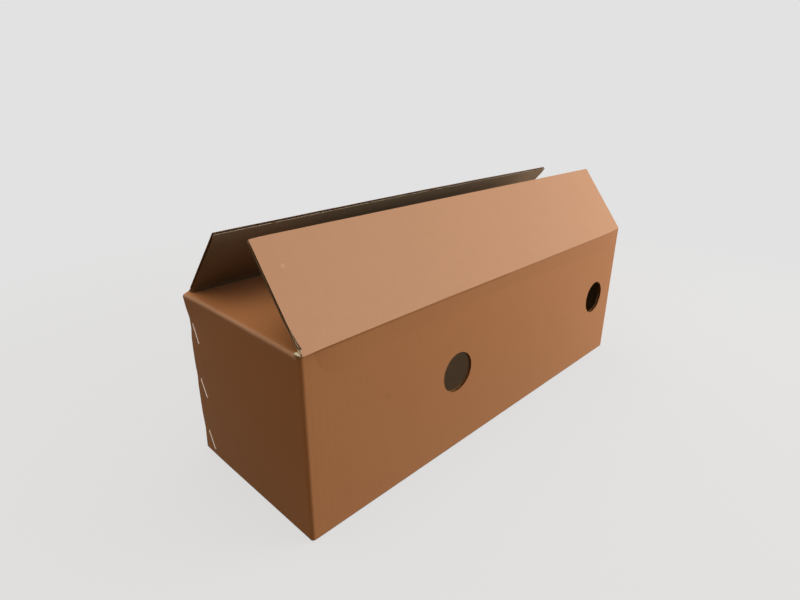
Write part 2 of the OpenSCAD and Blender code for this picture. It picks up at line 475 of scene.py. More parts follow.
wall_v = round_vents(LOW, SHORT_HIGH, [VENT_Z])
low_bend = steps(LOW - ARC, LOW, step=BEND_STEP)
low_tongue = steps(LOW - ARC - TONGUE, LOW - ARC - RAMP)[:-1]
low_tongue += steps(LOW - ARC - RAMP, LOW - ARC, step=1.5 * MM)
high_bend = steps(SHORT_HIGH, SHORT_HIGH + ARC, step=BEND_STEP)
high_tongue = steps(SHORT_HIGH + ARC, SHORT_HIGH + ARC + RAMP, step=1 * MM)[:-1]
high_tongue += steps(SHORT_HIGH + ARC + RAMP, SHORT_HIGH + ARC + TONGUE)
under = low_tongue[:-1] + low_bend[:-1]
short_v = under + wall_v[:-1] + high_bend[:-1] + high_tongue
# The long bottom flaps meet in the middle.
long_v = [under[0] - 0.4 * MM] + under[1:] + wall_v + [SLOT, CREASE]
corner_v = [FOOT, FOOT_MID] + wall_v + [SLOT, CREASE]
whole = (-1.0, 9.0)
strips = [(steps(u, u + ARC, step=BEND_STEP), corner_v, whole, whole) for u in corner_bends]
strips.append((steps(panel_start["tab"], panel_end["tab"]), wall_v, whole, whole))
for name in ("left_end", "right_end"):
    start, end = panel_start[name], panel_end[name]
    middle = RAW_EDGE if name == "left_end" else (start + end) / 2
    tongue = (middle - FLAP_SIDE, middle + FLAP_SIDE)
    fold_span = (start if name == "left_end" else start + KERF, end - KERF)
    stops = sorted({start, *fold_span, *tongue, end})
    strips.append((steps(*stops), short_v, fold_span, tongue))
for name, middles in (("front", vents_on_blank[:2]), ("back", vents_on_blank[2:])):
    start, end = panel_start[name], panel_end[name]
    tongue = (start + CUT_BACK, end - CUT_BACK)
    strips.append(([start] + round_vents(*tongue, middles) + [end], long_v, whole, tongue))
print("strips", len(strips), "with", [len(strip[0]) * len(strip[1]) for strip in strips], "grid points")

# %% Cells of the blank
sheet_points, sheet_cells, point_at = [], [], {}


def sheet_point(u, v):
    key = (round(u * 1e6), round(v * 1e6))
    if key not in point_at:
        point_at[key] = len(sheet_points)
        sheet_points.append((u, v))
    return point_at[key]


def in_vent_block(u, v):
    near = min(abs(u - middle) for middle in vents_on_blank)
    return near < VENT_HALF and abs(v - VENT_Z) < VENT_HALF


def cut_away(u, v, fold_span, tongue):
    """True where the slots beside a flap or its fold leave no board."""
    if LOW < v < SHORT_HIGH:
        return False
    first, last = fold_span if LOW - ARC < v < FOLD_TOP else tongue
    return not first < u < last


for us, vs, fold_span, tongue in strips:
    for u0, u1 in zip(us, us[1:]):
        for v0, v1 in zip(vs, vs[1:]):
            u, v = (u0 + u1) / 2, (v0 + v1) / 2
            if in_vent_block(u, v) or cut_away(u, v, fold_span, tongue):
                continue
            sheet_cells.append([sheet_point(*c) for c in ((u0, v0), (u1, v0), (u1, v1), (u0, v1))])
print("flat cells", len(sheet_cells))

# %% [markdown]
# Round vents don't fit a square grid, so each vent's block is filled with rings that turn from the block's
# square edge to the circle. The edge has one point for each point of the circle, which keeps all faces
# four-sided.

# %% Rings round the vents
RING_SHARES = (0.0, 0.4, 0.75, 1.0)
vent_rim = {}
side_count = round(2 * VENT_HALF / VENT_STEP)
edge_run = [i * VENT_STEP - VENT_HALF for i in range(side_count)]
square = [(a, -VENT_HALF) for a in edge_run] + [(VENT_HALF, a) for a in edge_run]
square += [(-a, VENT_HALF) for a in edge_run] + [(-VENT_HALF, -a) for a in edge_run]
for middle in vents_on_blank:
    rings = []
    for part in RING_SHARES:
        ring = []
        for du, dv in square:
            out = math.hypot(du, dv)
            grow_to = (1 - part) + part * VENT_R / out
            ring.append(sheet_point(middle + du * grow_to, VENT_Z + dv * grow_to))
            if part == 1.0:
                vent_rim[ring[-1]] = (du / out, dv / out)
        rings.append(ring)
    for wide, narrow in zip(rings, rings[1:]):
        for i in range(len(square)):
            j = (i + 1) % len(square)
            sheet_cells.append([wide[i], wide[j], narrow[j], narrow[i]])
print("rim points", len(vent_rim), "cells with vents", len(sheet_cells))

# %% [markdown]
# ## Giving the blank its thickness
# The sheet becomes a shell with an outside and an inside face. Along every cut edge the core is left open
# between the two liners, as on real board: 9 mm deep where the cut crosses the flutes, and one flute deep
# where it runs along them.

# %% Shell with open cut edges
flat_uv = np.array(sheet_points)
half_edges = {(c[i], c[(i + 1) % 4]) for c in sheet_cells for i in range(4)}
rim_edges = [(a, b) for a, b in half_edges if (b, a) not in half_edges]
ACROSS_DEPTH, ALONG_DEPTH = 9 * MM, 2.5 * MM
groove = {}
for a, b in sorted(rim_edges):
    du, dv = flat_uv[b] - flat_uv[a]
    for end in (a, b):
        hold = groove.setdefault(end, [0.0, 0.0])
        if abs(du) > abs(dv):
            deep = SLIT if flat_uv[end][1] > SLOT + SLIT else ACROSS_DEPTH
            hold[1] = math.copysign(deep, du)
        else:
            hold[0] = math.copysign(ALONG_DEPTH, -dv)
for end, (cu, cv) in vent_rim.items():
    groove[end] = [cu * ALONG_DEPTH, cv * ACROSS_DEPTH]
rim_levels = [(LINER, 0), (LINER, 1), (BOARD - LINER, 1), (BOARD - LINER, 0)]
count = len(flat_uv)
shell = [(u, 0.0, v) for u, v in flat_uv] + [(u, BOARD, v) for u, v in flat_uv]
rim_row = {}
for end in sorted(groove):
    rim_row[end] = [end]
    for level, inset in rim_levels:
        rim_row[end].append(len(shell))
        u, v = flat_uv[end] + np.array(groove[end]) * inset
        shell.append((u, level, v))
    rim_row[end].append(end + count)
faces = [list(c) for c in sheet_cells]
plies = [0] * len(faces)
faces += [[i + count for i in reversed(c)] for c in sheet_cells]
plies += [1] * len(sheet_cells)
for a, b in sorted(rim_edges):
    # A punched vent has a darker, crushed cut.
    cut = 2 if a in vent_rim and b in vent_rim else 3
    for k, number in enumerate((cut, 1, 2, 0, cut)):
        faces.append([rim_row[b][k], rim_row[a][k], rim_row[a][k + 1], rim_row[b][k + 1]])
        plies.append(number)
shell = np.array(shell)
print("shell points", len(shell), "faces", len(faces))

# %% [markdown]
# ## Fluting in the open edges
# Where a cut crosses the flutes, the wavy medium shows between the liners. These strips are single plies
# with a wave, made by the ply tree and set into the open edges of the short flaps and the vents.

# %% Fluted strips for the open edges
strip_tree, asked = new_tree("fluted_strip", ("Width", "Depth", "Hole"), ("Columns",))
links = {"Width": asked["Width"], "Start": 0.2 * MM, "End": asked["Depth"], "Hole": asked["Hole"]}
links |= {"Depth": (BOARD + MEDIUM) / 2, "Thickness": MEDIUM, "Wave": WAVE, "Pitch": PITCH}
links |= {"Columns": asked["Columns"], "Rows": 3, "Ply": 2}
wavy = add(strip_tree, "Group", links, node_tree=ply)
add(strip_tree, "NodeGroupOutput", {0: add(strip_tree, "Group", {0: wavy}, node_tree=dress)})
COLUMNS_A_WAVE = 10


def fluted_strip(width, hole):
    columns = round(width / PITCH * COLUMNS_A_WAVE) + 1
    values = {"Width": width, "Depth": ACROSS_DEPTH, "Hole": hole, "Columns": columns}
    piece = grow("fluted_strip", strip_tree, values)
    points = points_of(piece.data)
    loops = [list(f.vertices) for f in piece.data.polygons]
    numbers = [item.value for item in piece.data.attributes["ply"].data]
    bpy.data.objects.remove(piece)
    return points, loops, numbers


RIM_INSET = 0.75 * MM
edge_strip = fluted_strip(2 * FLAP_SIDE, 0.0)
rim_strip = fluted_strip(2 * (VENT_R - RIM_INSET), VENT_R)
print("strip faces", len(edge_strip[1]), "and", len(rim_strip[1]))

# %% Strips set into the blank
right_middle = (panel_start["right_end"] + panel_end["right_end"]) / 2
settings = []
for side in (RAW_EDGE - FLAP_SIDE, right_middle - FLAP_SIDE):
    settings.append((edge_strip, (side, 0, LOW - ARC - TONGUE), 1))
    settings.append((edge_strip, (side + 2 * FLAP_SIDE, 0, SHORT_HIGH + ARC + TONGUE), -1))
for middle in vents_on_blank:
    half = VENT_R - RIM_INSET
    settings.append((rim_strip, (middle - half, 0, VENT_Z), 1))
    settings.append((rim_strip, (middle + half, 0, VENT_Z), -1))
for (points, loops, numbers), place, way in settings:
    base = len(shell)
    # A half turn about Y points a strip down instead of up, and keeps its faces outwards.
    shell = np.vstack([shell, points * (way, 1, way) + place])
    faces += [[i + base for i in loop] for loop in loops]
    plies += numbers
print("blank points", len(shell), "faces", len(faces))

# %% [markdown]
# ## Bowing the panels
# Board is never quite flat. Each wall swells outwards by 1 or 2 mm, and the short flaps that lie
# under the long ones sag a little. Below, the short flaps step up on to the long ones. The sheet moves in its
# depth, before it is folded, so both faces go together.

# %% Bowed panels and sagging short flaps
SAG, RIPPLE, TAB_TAPER, TAB_TRIM, NEAR = 1.5 * MM, 0.35 * MM, 0.05, 2.5 * MM, 1e-6
u, v = shell[:, 0].copy(), shell[:, 2].copy()
swell = np.zeros(len(shell))
for name, most in (("left_end", 1.2), ("front", 1.8), ("right_end", 1.0), ("back", 1.2)):
    s = ramp(u, panel_start[name], panel_end[name])
    t = ramp(v, LOW, SHORT_HIGH)
    swell -= most * MM * np.sin(math.pi * s) * np.sin(math.pi * t)
fall = ramp(v, SHORT_HIGH + ARC, SHORT_HIGH + ARC + TONGUE)
swell += SAG * fall**1.5
ripples = np.array([noise.noise(Vector((a * 14, 0.0, b * 14))) for a, b in zip(u, v)])
calm = ramp(np.minimum(v - LOW, SHORT_HIGH - v), 0, 40 * MM)
swell += RIPPLE * ripples * calm
on_short = np.zeros(len(shell), bool)
for name in ("left_end", "right_end"):
    on_short |= (u > panel_start[name] + NEAR) & (u < panel_end[name] - NEAR)
on_short |= u < NEAR
climb = ramp(v, LOW - ARC, LOW - ARC - RAMP)
swell += np.where(on_short, (BOARD + LAYER_GAP) * climb**2 * (3 - 2 * climb), 0)
tab_fall = ramp(u, panel_start["tab"], panel_end["tab"])
shell[:, 2] = v + np.where(u >= panel_start["tab"], tab_fall * (VENT_Z - v) * TAB_TAPER, 0)
# The long walls end in a mitre under their creases, and the corners carry it on round to the end panels.
n = shell[:, 1]
mitre = np.where(on_short, 0, n)
for name, rising in (("left_end", True), ("front", False), ("right_end", True), ("back", False)):
    s = (u - panel_end[name]) / ARC * math.pi / 2
    corner = (s > -NEAR) & (s < math.pi / 2 + NEAR)
    turn = np.sin(s) if rising else np.cos(s)
    # The tab's corner is trimmed lower, under the end panel's fold.
    trim = TAB_TRIM * np.sin(s) if name == "back" else 0
    mitre = np.where(corner, BEND - (BEND - n) * turn + trim, mitre)
shell[:, 2] -= mitre * ramp(v, SHORT_HIGH, CREASE) * ~on_short
shell[:, 1] += swell
print("swell from", round(swell.min() / MM, 2), "to", round(swell.max() / MM, 2), "mm")

# %% [markdown]
# ## Folding
# One rule folds board at a crease: beyond it the sheet turns about a line inside the bend, and the bend
# itself is a round of the board's thickness. As a node group this rule is used six times: for the flaps below
# and above, and for the four corners, starting with the last so that each fold carries the rest with it.

# %% Group that folds at one crease
names = ("Along", "Place", "Depth", "Crease", "Radius", "Angle", "Sharpness")
bend, told = new_tree("fold_at_crease", names, gives=(("Place", "Float"), ("Depth", "Float")))
past = (told["Along"] - told["Crease"]).math("MAXIMUM", 0.0)
used = past.math("MINIMUM", told["Radius"] * told["Angle"])
angle = used / told["Radius"]
cosine, sine = angle.math("COSINE"), angle.math("SINE")
level = told["Place"] - told["Crease"] - used
# A pressed fold is sharper than a round one, so the middle of the bend is pushed out.
middle = (angle * 2.0).math("SINE")
inward = (told["Depth"] - told["Radius"]) * (middle * middle * told["Sharpness"] + 1.0)
place = level * cosine + told["Crease"] - inward * sine
depth = level * sine + told["Radius"] + inward * cosine
add(bend, "NodeGroupOutput", {"Place": place, "Depth": depth})
print("fold_at_crease has", len(bend.nodes), "nodes")

# %% Tree that folds the blank
names = ("Radius", "Angle", "Fold sharpness", "Corner sharpness", "Raw edge", "Left face")
names += ("Corner 1", "Corner 2", "Corner 3", "Corner 4")
fold, told = new_tree("fold_blank", names, mesh_in=True)
spot = add(fold, "InputPosition")
kept = store(told["Geometry"], "flat", spot)
sheet = add(fold, "SeparateXYZ", {0: spot})
high = add(fold, "InputNamedAttribute", {"Name": "crease_high"}, data_type="FLOAT")
low = add(fold, "InputNamedAttribute", {"Name": "crease_low"}, data_type="FLOAT")


def folded_at(along, place, depth, crease, sharpness):
    rule = {"Along": along, "Place": place, "Depth": depth, "Crease": crease, "Sharpness": sharpness}
    rule |= {"Radius": told["Radius"], "Angle": told["Angle"]}
    turned = add(fold, "Group", rule, node_tree=bend)
    return turned["Place"], turned["Depth"]


down = sheet["Z"] * -1.0
drop, inwards = folded_at(down, down, sheet["Y"], low * -1.0, told["Fold sharpness"])
rise, inwards = folded_at(sheet["Z"], drop * -1.0, inwards, high, told["Fold sharpness"])
across = sheet["X"]
for name in ("Corner 4", "Corner 3", "Corner 2", "Corner 1"):
    across, inwards = folded_at(sheet["X"], across, inwards, told[name], told["Corner sharpness"])
home = {"X": inwards + told["Left face"], "Y": told["Raw edge"] - across, "Z": rise}
folded = add(fold, "SetPosition", {"Geometry": kept, "Position": add(fold, "CombineXYZ", home)})
add(fold, "NodeGroupOutput", {0: add(fold, "Group", {0: folded}, node_tree=dress)})
print("fold_blank has", len(fold.nodes), "nodes")

# %% The blank, folded
blank = bpy.data.meshes.new("carton_board")
blank.from_pydata(shell.tolist(), [], faces)
blank.attributes.new("ply", "INT", "FACE").data.foreach_set("value", plies)
# Only the short panels fold at the top; the long ones go on to their own creases. The feet of the corners
# go straight down, almost to the floor. A crease that is a metre away folds nothing.
NO_FOLD = 1.0
on_foot = np.isclose(v, FOOT, atol=1e-7) | np.isclose(v, FOOT_MID, atol=1e-7)
keep_numbers(blank, "crease_high", np.where(on_short, SHORT_HIGH, NO_FOLD))
keep_numbers(blank, "crease_low", np.where(on_foot, -NO_FOLD, LOW))
# The painted highlight is sharp towards the panel and fades out on the flap.
past_ridge = v - SHORT_HIGH - 0.42 * ARC
ridge = on_short * np.exp(-((past_ridge / np.where(past_ridge < 0, 2 * MM, 3 * MM)) ** 2))
keep_numbers(blank, "ridge_painted_highlight", ridge)
values = {"Radius": BEND, "Angle": math.pi / 2, "Fold sharpness": 0.2, "Corner sharpness": 0.12}
values |= {"Raw edge": RAW_EDGE, "Left face": -LENGTH / 2}
values |= {f"Corner {i + 1}": u_bend for i, u_bend in enumerate(corner_bends)}
carton = grow("carton_board", fold, values, blank)
print("carton faces", len(carton.data.polygons), "box", np.round(points_of(carton.data).min(0), 4))

# %% [markdown]
# ## The sprung corner
# At the stitched corner the end panel is only held by its stitches, which pull the joint in. Above the
# highest one the raw edge has sprung a little outwards, and the end of its top fold stands up, which shows
# against the background. This is done after the folding. The lift stops short of the back flap's end, so that
# the flap can still close.

# %% Sprung corner above the top stitch
SPRING, LIFT, LOOSE = 2 * MM, 2.3 * MM, 60 * MM
# Height, half width and most of the pull at each stitch, in millimetres.
STITCH_PULL = ((28, 13, 0.9), (98, 8, 0.6), (162, 13.5, 2.1))


def joint_pull(at):
    """How far the joint is pulled in at these points: a little all the way up, most at the top stitch."""
    near_joint = ramp(at[:, 1], RAW_EDGE - LOOSE, RAW_EDGE) ** 2
    near_joint *= ramp(at[:, 0], -280 * MM, -288 * MM)
    pull = 0.6 * ramp(at[:, 2], 170 * MM, 140 * MM)
    for height, half_width, most in STITCH_PULL:
        pull += most * np.exp(-(((at[:, 2] / MM - height) / half_width) ** 2))
    return MM * pull * near_joint


points, flat = points_of(carton.data), points_of(carton.data, "flat")
near_edge = ramp(flat[:, 0], LOOSE, 0) ** 2
above = ramp(points[:, 2], 158 * MM, 194 * MM) ** 2
sprung = np.where(flat[:, 0] < panel_end["left_end"], near_edge * above, 0)
points[:, 0] -= SPRING * sprung
# The joint moves in together with the tab behind it.
points[:, 0] += joint_pull(points)
high_up = points[:, 2] > SHORT_HIGH
climb = ramp(points[:, 0], -LENGTH / 2, -LENGTH / 2 + 5.5 * MM)
ending = ramp(points[:, 0], -LENGTH / 2 + 6.1 * MM, -LENGTH / 2 + 5.3 * MM)
near_end = ramp(flat[:, 0], 45 * MM, 0)
lift = np.where(high_up & (sprung > 0), climb * ending * near_end, 0)
points[:, 2] += LIFT * lift
keep_points(carton.data, points)
smooth_sheet(carton.data)
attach(carton, "carton")
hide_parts("carton_body")
print("sprung and lifted by", [round(most / MM, 2) for most in (SPRING * sprung.max(), LIFT * lift.max())])

# %% [markdown]
# ## The long flaps
# The two long flaps stand open, so all their plies show along the cut edges: this is the main piece whose
# shape follows a rule. The tree lays an outside liner, a wavy medium and an inside liner, and leaves the
# root slanted, as the crushed board of the crease is.

# %% Tree for a three-ply flap
names = ("Width", "Length", "Board", "Liner", "Medium", "Wave", "Pitch", "Slit")
sheet_tree, told = new_tree("three_ply_flap", names, ("Liner columns", "Wave columns", "Rows"))
root = told["Board"] + told["Slit"]
mid = (told["Board"] + told["Medium"]) * 0.5
short_of = told["Length"] - 0.8 * MM
size = {"Width": told["Width"], "Pitch": told["Pitch"], "Rows": told["Rows"], "Hole": 0.0}
liner = size | {"End": told["Length"], "Thickness": told["Liner"], "Wave": 0.0}
liner |= {"Columns": told["Liner columns"]}
medium = size | {"Thickness": told["Medium"], "Wave": told["Wave"], "Columns": told["Wave columns"]}
stacked = add(sheet_tree, "JoinGeometry")
for layer in (
    {"Start": told["Slit"], "Depth": told["Liner"], "Ply": 5, **liner},
    {"Start": root, "End": short_of, "Depth": mid, "Ply": 2, **medium},
    {"Start": root, "Depth": told["Board"], "Ply": 1, **liner},
):
    add(sheet_tree, "Group", layer, node_tree=ply).feed(stacked.node.inputs[0])
kept = store(stacked, "flat", add(sheet_tree, "InputPosition"))
add(sheet_tree, "NodeGroupOutput", {0: add(sheet_tree, "Group", {0: kept}, node_tree=dress)})
print("three_ply_flap has", len(sheet_tree.nodes), "nodes")

# %% [markdown]
# A flap is made flat, standing on its crease at the origin. It is bowed and cut a little out of square, and
# only then is it leaned and carried to the top of its wall. The back flap is the same sheet turned half
# round, so nothing has to be mirrored.

# %% Front and back flap
# The back flap's right end is cut 2 mm longer than the solid's.
FLAP_ENDS = {"front": (-294 * MM, 294 * MM), "back": (TAB_FACE + 2 * MM, 296 * MM)}
LEAN = {"front": math.radians(38), "back": math.radians(44)}


def stand(side):
    """Turns a flat flap, standing on its crease at the origin, into its place on the carton."""
    half_turn = Matrix.Rotation(math.pi if side == "back" else 0, 4, "Z")
    low, high = FLAP_ENDS[side]
    start = Vector((low if side == "front" else -high, -WIDTH / 2, HEIGHT))
    return half_turn @ Matrix.Translation(start) @ Matrix.Rotation(-LEAN[side], 4, "X")


def long_flap(side):
    low, high = FLAP_ENDS[side]
    width = high - low
    waves = round(width / PITCH)
    values = {"Width": width, "Length": FLAP, "Slit": SLIT, "Board": BOARD, "Liner": LINER, "Medium": MEDIUM}
    values |= {"Wave": WAVE, "Pitch": width / waves, "Wave columns": waves * COLUMNS_A_WAVE + 1}
    values |= {"Liner columns": 61, "Rows": 12}
    return grow(side + "_flap_board", sheet_tree, values)


flaps = {side: long_flap(side) for side in LEAN}
print("flat flaps", [flap.name for flap in flaps.values()])

# %% Flaps bowed, cut and stood up
BOW, WAVINESS, TWIST = 1.2 * MM, 0.5 * MM, 3.5 * MM
for side, flap in flaps.items():
    points = points_of(flap.data)
    low, high = FLAP_ENDS[side]
    s, t = points[:, 0] / (high - low), points[:, 2] / FLAP
    from_left = points[:, 0] if side == "front" else high - low - points[:, 0]
    leftness = 1 - from_left / (high - low)
    bow = -BOW * np.sin(math.pi * s) * t
    ripple = np.array([noise.noise(Vector((p[0] * 12, side == "back", p[2] * 12))) for p in points])
    # Only outwards, so that a closed flap stays clear of the short flaps under it.
    bow -= WAVINESS * np.abs(ripple) * t
    # The back flap is twisted: its right end stands 3.5 mm further out.
    bow -= (side == "back") * TWIST * (1 - s) * t
    # Pale pulp shows along the back flap's inside liner, and at the foot and the tip of the front flap's left
    # edge. The back flap's free edge is painted dark on its outside half as painted shade, and the front
    # flap's left edge is painted dark between its pale ends.
    if side == "back":
        frayed = (points[:, 2] > FLAP - 1 * MM) * np.sign(points[:, 1] - BOARD * 0.8)
    else:
        frayed = np.where((t < 0.3) | (t > 0.95), 1, -1) * (points[:, 0] < 0.3 * MM)
    keep_numbers(flap.data, "frayed", frayed)
    # The knife pressed the free edges thinner.
    points[:, 1] *= 1 - 0.3 * ramp(t, 0.94, 1) ** 2
    # The sheet was cut a little out of square: towards the left the front flap is longer, the back shorter.
    near_left = ramp(from_left, 40 * MM, 0) ** 2
    if side == "front":
        longer = 0.3 + 1.4 * leftness**2 - 0.5 * np.exp(-from_left / (6 * MM))
        points[:, 0] -= MM * near_left * ramp(t, 0.1, 0.3)
        # At the foot of the left end the outside liner is torn back.
        torn_back = ramp(t, 0.13, 0) * ramp(from_left, 9 * MM, 0)
        points[:, 0] += 2.5 * MM * torn_back * (points[:, 1] < 1.01 * LINER)
    else:
        longer = -0.9 * leftness**2
        points[:, 0] -= MM * near_left * (1.5 - 2.3 * t)
    points[:, 2] += MM * longer * t
    points[:, 1] += bow
    keep_points(flap.data, points)
    if side == "back":
        # Its paper comes from another place on the roll, so that the marks aren't the same.
        keep_points(flap.data, points_of(flap.data, "flat") + (1.0, 0, 0), "flat")
    flap.data.transform(stand(side))
    smooth_sheet(flap.data)
    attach(flap, side + "_flap")
    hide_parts(side + "_top_flap")
    print(flap.name, len(flap.data.polygons), "faces")

# %% [markdown]
# ## The creases
# At each long crease the board is crushed but whole: the liners run on from wall to flap. Each crease is a
# narrow wedge of board between the two slanted ends. Outside, the wall swells out a little to meet a rolled
# edge, with a shallow score line under it.

# %% Section through a crease
# How far the edge is rolled, in millimetres: at the front, what the torn left end adds, and at the back.
ROLL, TORN_ROLL, BACK_ROLL = 2, 1.4, 0.3
# Millimetres below the rolled edge, and how far the wall has swollen out there.
CREASE_SWELL = ((30, 0.0), (18, 0.25), (9, 0.5), (4.5, 0.62), (2.4, 0.66), (1.0, 0.8))


def crease_section(lean, rolled, ease, buried):
    """Points (depth into the box, height) round the wedge, about the hinge line: outside, then inside."""
    s, c = math.sin(lean), math.cos(lean)
    proud, inner, root = 0.06 * MM, BOARD + 0.05 * MM, BOARD + SLIT + 0.15 * MM

    def on_flap(along, depth):
        return (along * s + depth * c, along * c - depth * s)

    # The rolled edge stands out below the hinge line.
    out, down = on_flap(-rolled, -proud)
    start = buried - proud
    outside = [(start + ease * share * (out - start), down - drop * MM) for drop, share in CREASE_SWELL]
    outside += [(out, down), on_flap(0.4 * MM - rolled / 2, -proud)]
    outside += [on_flap(1.0 * MM, -proud), on_flap(2.6 * MM, -proud)]
    first, last = np.array(on_flap(root, inner)), np.array((inner, -root))
    return outside, [tuple(first + (last - first) * i / 8) for i in range(9)]


print("points outside and inside", [len(row) for row in crease_section(LEAN["front"], ROLL * MM, 1.0, 0.0)])

# %% Creased board between wall and flap
COLUMNS, BURIED, WEAR = 99, 1.2 * MM, 0.12 * MM


def crease(side):
    low, high = FLAP_ENDS[side]
    if side == "back":
        low += 3 * MM
        high -= 2 * MM
    flip = 1 if side == "front" else -1
    made, flats = [], []
    for i in range(COLUMNS):
        x = min(high, low + (high - low) * i / (COLUMNS - 1))
        # The front's roll is deepest at the torn left end, and it runs out at the right.
        rolled = BACK_ROLL
        if side == "front":
            rolled = ROLL + TORN_ROLL * math.exp((low - x) / (70 * MM))
            rolled *= math.sqrt(min(1, (high - x) / (50 * MM)))
        # At its ends the swelling lies under the round corners.
        inset = min(1, (x - low) / (60 * MM), (high - x) / (25 * MM))
        ease = math.sin(inset * math.pi / 2)
        buried = BURIED * (1 - ease) ** 2
        outside, inside = crease_section(LEAN[side], rolled * MM, ease, buried)
        ring = outside + inside
        for k, (d, h) in enumerate(ring):
            worn = noise.noise(Vector((x * 40, k * 0.7, side == "back"))) * WEAR
            made.append((x, flip * (-WIDTH / 2 + d + worn * (2 < k < 7)), HEIGHT + h))
            flats.append((x, d, h))
    n = len(ring)
    loops, numbers = [], []
    for i in range(COLUMNS - 1):
        # The score line is painted dark on the left half of the front only: crushed paper, with painted shade
        # under the rolled edge.
        x = made[i * n][0]
        score = 6 if x < 0 and side == "front" else 0
        outside_plies = (0, 0, 0, 0, score, score, 5, 5, 5)
        for k in range(n):
            j = (k + 1) % n
            loops.append([i * n + k, (i + 1) * n + k, (i + 1) * n + j, i * n + j][::flip])
            numbers.append(outside_plies[k] if k < len(outside_plies) else 7)
    loops += [list(range(n))[::flip], [(COLUMNS - 1) * n + k for k in range(n)][::-flip]]
    numbers += [4 if side == "front" else 7, 3]
    mesh = bpy.data.meshes.new(side + "_crease")
    mesh.from_pydata(made, [], loops)
    keep_points(mesh, flats, "flat")
    for paper in PLIES:
        mesh.materials.append(paper)
    mesh.polygons.foreach_set("material_index", numbers)
    smooth_sheet(mesh, 50)
    piece = put(mesh.name, mesh)
    (d0, h0), (d1, h1) = inside[-1], inside[0]
    start = (0, flip * (-WIDTH / 2 + d0), HEIGHT + h0)
    end = (0, flip * (-WIDTH / 2 + d1), HEIGHT + h1)
    side + "_flap"
    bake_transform(piece)
    return piece


creases = [crease(side) for side in LEAN]
print("creases", [len(piece.data.polygons) for piece in creases])

# %% [markdown]
# ## Torn pulp at the slot
# At the front left corner the slot was torn, not cut: pale pulp stands up round its foot, with loose fibres.
# The tree lays a ragged roll of pulp along a path and scatters fine fibres on it, all from one fixed seed.

# %% Tree for torn pulp
FAN = 0.9
names = ("Thickness", "Ragged", "Fibre length")
torn, told = new_tree("torn_pulp_roll", names, ("Fibres", "Seed"), mesh_in=True)
path = add(torn, "MeshToCurve", {"Mesh": told["Geometry"]})
fine = add(torn, "ResampleCurve", {"Curve": path, "Length": 0.4 * MM}, mode="LENGTH")
links = {"Scale": 1 / (1.5 * MM), "Detail": 2.0, "W": told["Seed"]}
clumps = add(torn, "TexNoise", links, noise_dimensions="4D")
offset = add(torn, "VectorMath", {0: clumps["Color"], 1: (0.5, 0.5, 0.5)}, operation="SUBTRACT")
offset = add(torn, "VectorMath", {0: offset, "Scale": told["Ragged"]}, operation="SCALE")
ragged = add(torn, "SetPosition", {"Geometry": fine, "Offset": offset})
run = add(torn, "SplineParameter")["Factor"]
fullness = (run * math.pi).math("SINE") * clumps["Fac"] * 1.4 + 0.25
ring = add(torn, "CurvePrimitiveCircle", {"Resolution": 7, "Radius": told["Thickness"] * 0.5})
links = {"Curve": ragged, "Profile Curve": ring["Curve"], "Scale": fullness, "Fill Caps": True}
roll = add(torn, "CurveToMesh", links)
roots = add(torn, "CurveToPoints", {"Curve": ragged, "Count": told["Fibres"]}, mode="COUNT")
links = {"Vertices": 5, "Radius Top": 0.03 * MM, "Radius Bottom": 0.12 * MM, "Depth": told["Fibre length"]}
fibre = add(torn, "MeshCone", links)
# Fibres point out of the cut edge, along -X, and spread by up to about 50 degrees.
links = {0: (-FAN, -math.pi / 2 - FAN, 0), 1: (FAN, -math.pi / 2 + FAN, 0), "Seed": told["Seed"]}
lean = add(torn, "RandomValue", links, data_type="FLOAT_VECTOR")
loose = add(torn, "InstanceOnPoints", {"Points": roots, "Instance": fibre["Mesh"], "Rotation": lean})
joined = add(torn, "JoinGeometry", {0: roll})
loose.feed(joined.node.inputs[0])
real = add(torn, "RealizeInstances", {"Geometry": joined})
placed = store(real, "flat", add(torn, "InputPosition"))
dressed = add(torn, "SetMaterial", {"Geometry": placed, "Material": torn_pulp})
add(torn, "NodeGroupOutput", {0: dressed})
print("torn_pulp_roll has", len(torn.nodes), "nodes")

# %% [markdown]
# One roll lies across the foot of the slot, from the corner to the short flap's fold. The others follow the
# torn liners up the flap's edge: their paths are drawn on the flat flap and stood up with it.

# %% Torn pulp in place
def torn_roll(name, places, thickness, seed):
    route = bpy.data.meshes.new(name)
    route.from_pydata(places, [(i, i + 1) for i in range(len(places) - 1)], [])
    values = {"Thickness": thickness * MM, "Ragged": min(thickness, 1.4) * 0.9 * MM}
    values |= {"Fibre length": 1.1 * MM, "Fibres": 10, "Seed": seed}
    return grow(name, torn, values, route)


foot = [(-294.9, -103.8, 197.0), (-295.9, -102.2, 197.9), (-296.1, -99.8, 197.9), (-295.6, -97.3, 197.0)]
foot.append((-294.9, -95.6, 195.2))
foot_roll = torn_roll("slot_torn_foot", [tuple(c * MM for c in place) for place in foot], 3.4, 3)
smooth_sheet(foot_roll.data, 60)
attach(foot_roll, "carton")
edge_paths = {
    "flap_torn_inside": ([(0.7, 2.7, 4), (0.6, 2.8, 7), (0.6, 2.8, 13), (0.6, 2.8, 20)], 0.7),
    "flap_torn_outside": ([(2.2, 0.5, 3.5), (1.5, 0.4, 7), (0.4, 0.3, 12)], 0.6),
    "flap_torn_root": ([(1.6, 1.5, 2.4), (1.4, 1.8, 4), (1.3, 2.1, 7), (1.4, 2.2, 10)], 1.7),
}
for seed, (name, (places, thickness)) in enumerate(edge_paths.items()):
    roll = torn_roll(name, [tuple(c * MM for c in place) for place in places], thickness, seed + 5)
    roll.data.transform(stand("front"))
    smooth_sheet(roll.data, 60)
    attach(roll, "front_flap")
    print(name, len(roll.data.polygons), "faces")

